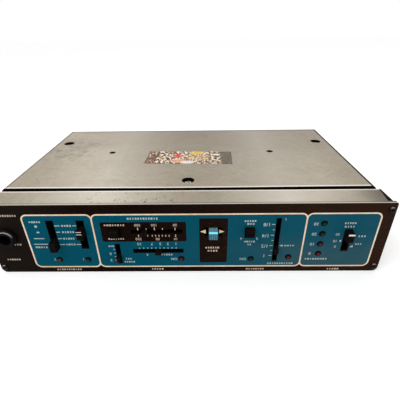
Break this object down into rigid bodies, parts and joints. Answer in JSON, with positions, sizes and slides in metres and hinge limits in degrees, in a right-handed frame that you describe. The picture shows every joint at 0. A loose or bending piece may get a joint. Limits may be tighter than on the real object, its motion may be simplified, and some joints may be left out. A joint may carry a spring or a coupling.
{
  "type": "rack effects unit",
  "caption": "Half-width rack effects unit with a printed panel of slide switches, slide potentiometers, lamps and a front jack, lying on its lid.",
  "frame": {"origin": "middle of the footprint of the whole unit, on the surface that it lies on", "axes": "+Z out of the underside plate (the unit lies on its lid), -Y the way the front panel faces, +X along the panel; turn it 180 degrees about Y for use in a rack"},
  "size_m": [0.216, 0.1384, 0.0444],
  "materials": {
    "panel_print": "satin print, black borders, bare edge",
    "frame_cast": "fine brushed, worn",
    "case_sheet": "fine brushed, worn",
    "black_steel": "black oxide",
    "bright_steel": "plated",
    "board": "solder mask",
    "black_plastic": "moulded",
    "lever_plastic": "moulded, ribbed",
    "blue_plastic": "translucent tint",
    "white_plastic": "moulded nylon",
    "lamp_green": "unlit lens",
    "lamp_red": "unlit lens",
    "lamp_amber": "unlit lens",
    "can_steel": "tinned",
    "capacitor_sleeve": "shrink sleeve",
    "film_coat": "dipped",
    "ribbon_grey": "flat cable",
    "sink_alloy": "plain",
    "brass_nut": "plain"
  },
  "bodies": {
    "casing": {"board_supports": "white_plastic", "bottom_cover": "case_sheet", "case_posts": "bright_steel", "case_screws": "bright_steel", "chorus_depth_switch": "can_steel", "control_board": "board", "delay_chips": "black_plastic", "delay_level_pot": "can_steel", "delay_range_switch": "can_steel", "delay_time_pot": "can_steel", "feedback_pot": "can_steel", "film_capacitors": "film_coat", "filter_capacitors": "capacitor_sleeve", "front_frame": "frame_cast", "front_jack": "black_plastic", "front_jack_nut": "black_steel", "front_panel": "panel_print", "heat_sink": "sink_alloy", "input_level_switch": "can_steel", "led_amber": "lamp_amber", "led_spacers": "white_plastic", "leds_green": "lamp_green", "leds_red": "lamp_red", "lid_screws": "black_steel", "main_board": "board", "mode_switch": "can_steel", "op_amp_chips": "black_plastic", "output_switch_a": "can_steel", "output_switch_b": "can_steel", "panel_screws": "black_steel", "power_socket": "black_plastic", "power_socket_nut": "bright_steel", "rear_jack_nuts": "bright_steel", "rear_jacks": "black_plastic", "ribbon_cable": "ribbon_grey", "ribbon_headers": "black_plastic", "side_screws": "black_steel", "small_capacitors": "capacitor_sleeve", "sweep_speed_pot": "can_steel", "top_cover": "case_sheet", "tray_nuts": "brass_nut", "voltage_regulators": "black_plastic"},
    "output_switch_a_lever": {"output_switch_a_lever": "lever_plastic"},
    "output_switch_b_lever": {"output_switch_b_lever": "lever_plastic"},
    "input_level_switch_lever": {"input_level_switch_lever": "lever_plastic"},
    "delay_range_switch_lever": {"delay_range_switch_lever": "lever_plastic"},
    "chorus_depth_switch_lever": {"chorus_depth_switch_lever": "lever_plastic"},
    "mode_switch_lever": {"mode_switch_lever": "blue_plastic"},
    "sweep_speed_pot_lever": {"sweep_speed_pot_lever": "lever_plastic"},
    "delay_time_pot_lever": {"delay_time_pot_lever": "lever_plastic"},
    "feedback_pot_lever": {"feedback_pot_lever": "lever_plastic"},
    "delay_level_pot_lever": {"delay_level_pot_lever": "lever_plastic"}
  },
  "joints": [
    {"name": "output_switch_a_slide", "type": "slide", "parent": "casing", "child": "output_switch_a_lever", "axis": [0, 0, 1], "range_m": [0, 0.0123]},
    {"name": "output_switch_b_slide", "type": "slide", "parent": "casing", "child": "output_switch_b_lever", "axis": [0, 0, 1], "range_m": [-0.0082, 0.0041]},
    {"name": "input_level_switch_slide", "type": "slide", "parent": "casing", "child": "input_level_switch_lever", "axis": [0, 0, 1], "range_m": [-0.0082, 0]},
    {"name": "delay_range_switch_slide", "type": "slide", "parent": "casing", "child": "delay_range_switch_lever", "axis": [0, 0, 1], "range_m": [-0.002, 0]},
    {"name": "chorus_depth_switch_slide", "type": "slide", "parent": "casing", "child": "chorus_depth_switch_lever", "axis": [0, 0, 1], "range_m": [-0.002, 0]},
    {"name": "mode_switch_slide", "type": "slide", "parent": "casing", "child": "mode_switch_lever", "axis": [1, 0, 0], "range_m": [-0.002, 0.002], "stiffness_N_per_m": 300},
    {"name": "sweep_speed_pot_slide", "type": "slide", "parent": "casing", "child": "sweep_speed_pot_lever", "axis": [0, 0, 1], "range_m": [-0.0041, 0.0159]},
    {"name": "delay_time_pot_slide", "type": "slide", "parent": "casing", "child": "delay_time_pot_lever", "axis": [1, 0, 0], "range_m": [-0.0037, 0.0163]},
    {"name": "feedback_pot_slide", "type": "slide", "parent": "casing", "child": "feedback_pot_lever", "axis": [1, 0, 0], "range_m": [-0.01015, 0.00985]},
    {"name": "delay_level_pot_slide", "type": "slide", "parent": "casing", "child": "delay_level_pot_lever", "axis": [0, 0, 1], "range_m": [-0.0027, 0.0073]}
  ]
}
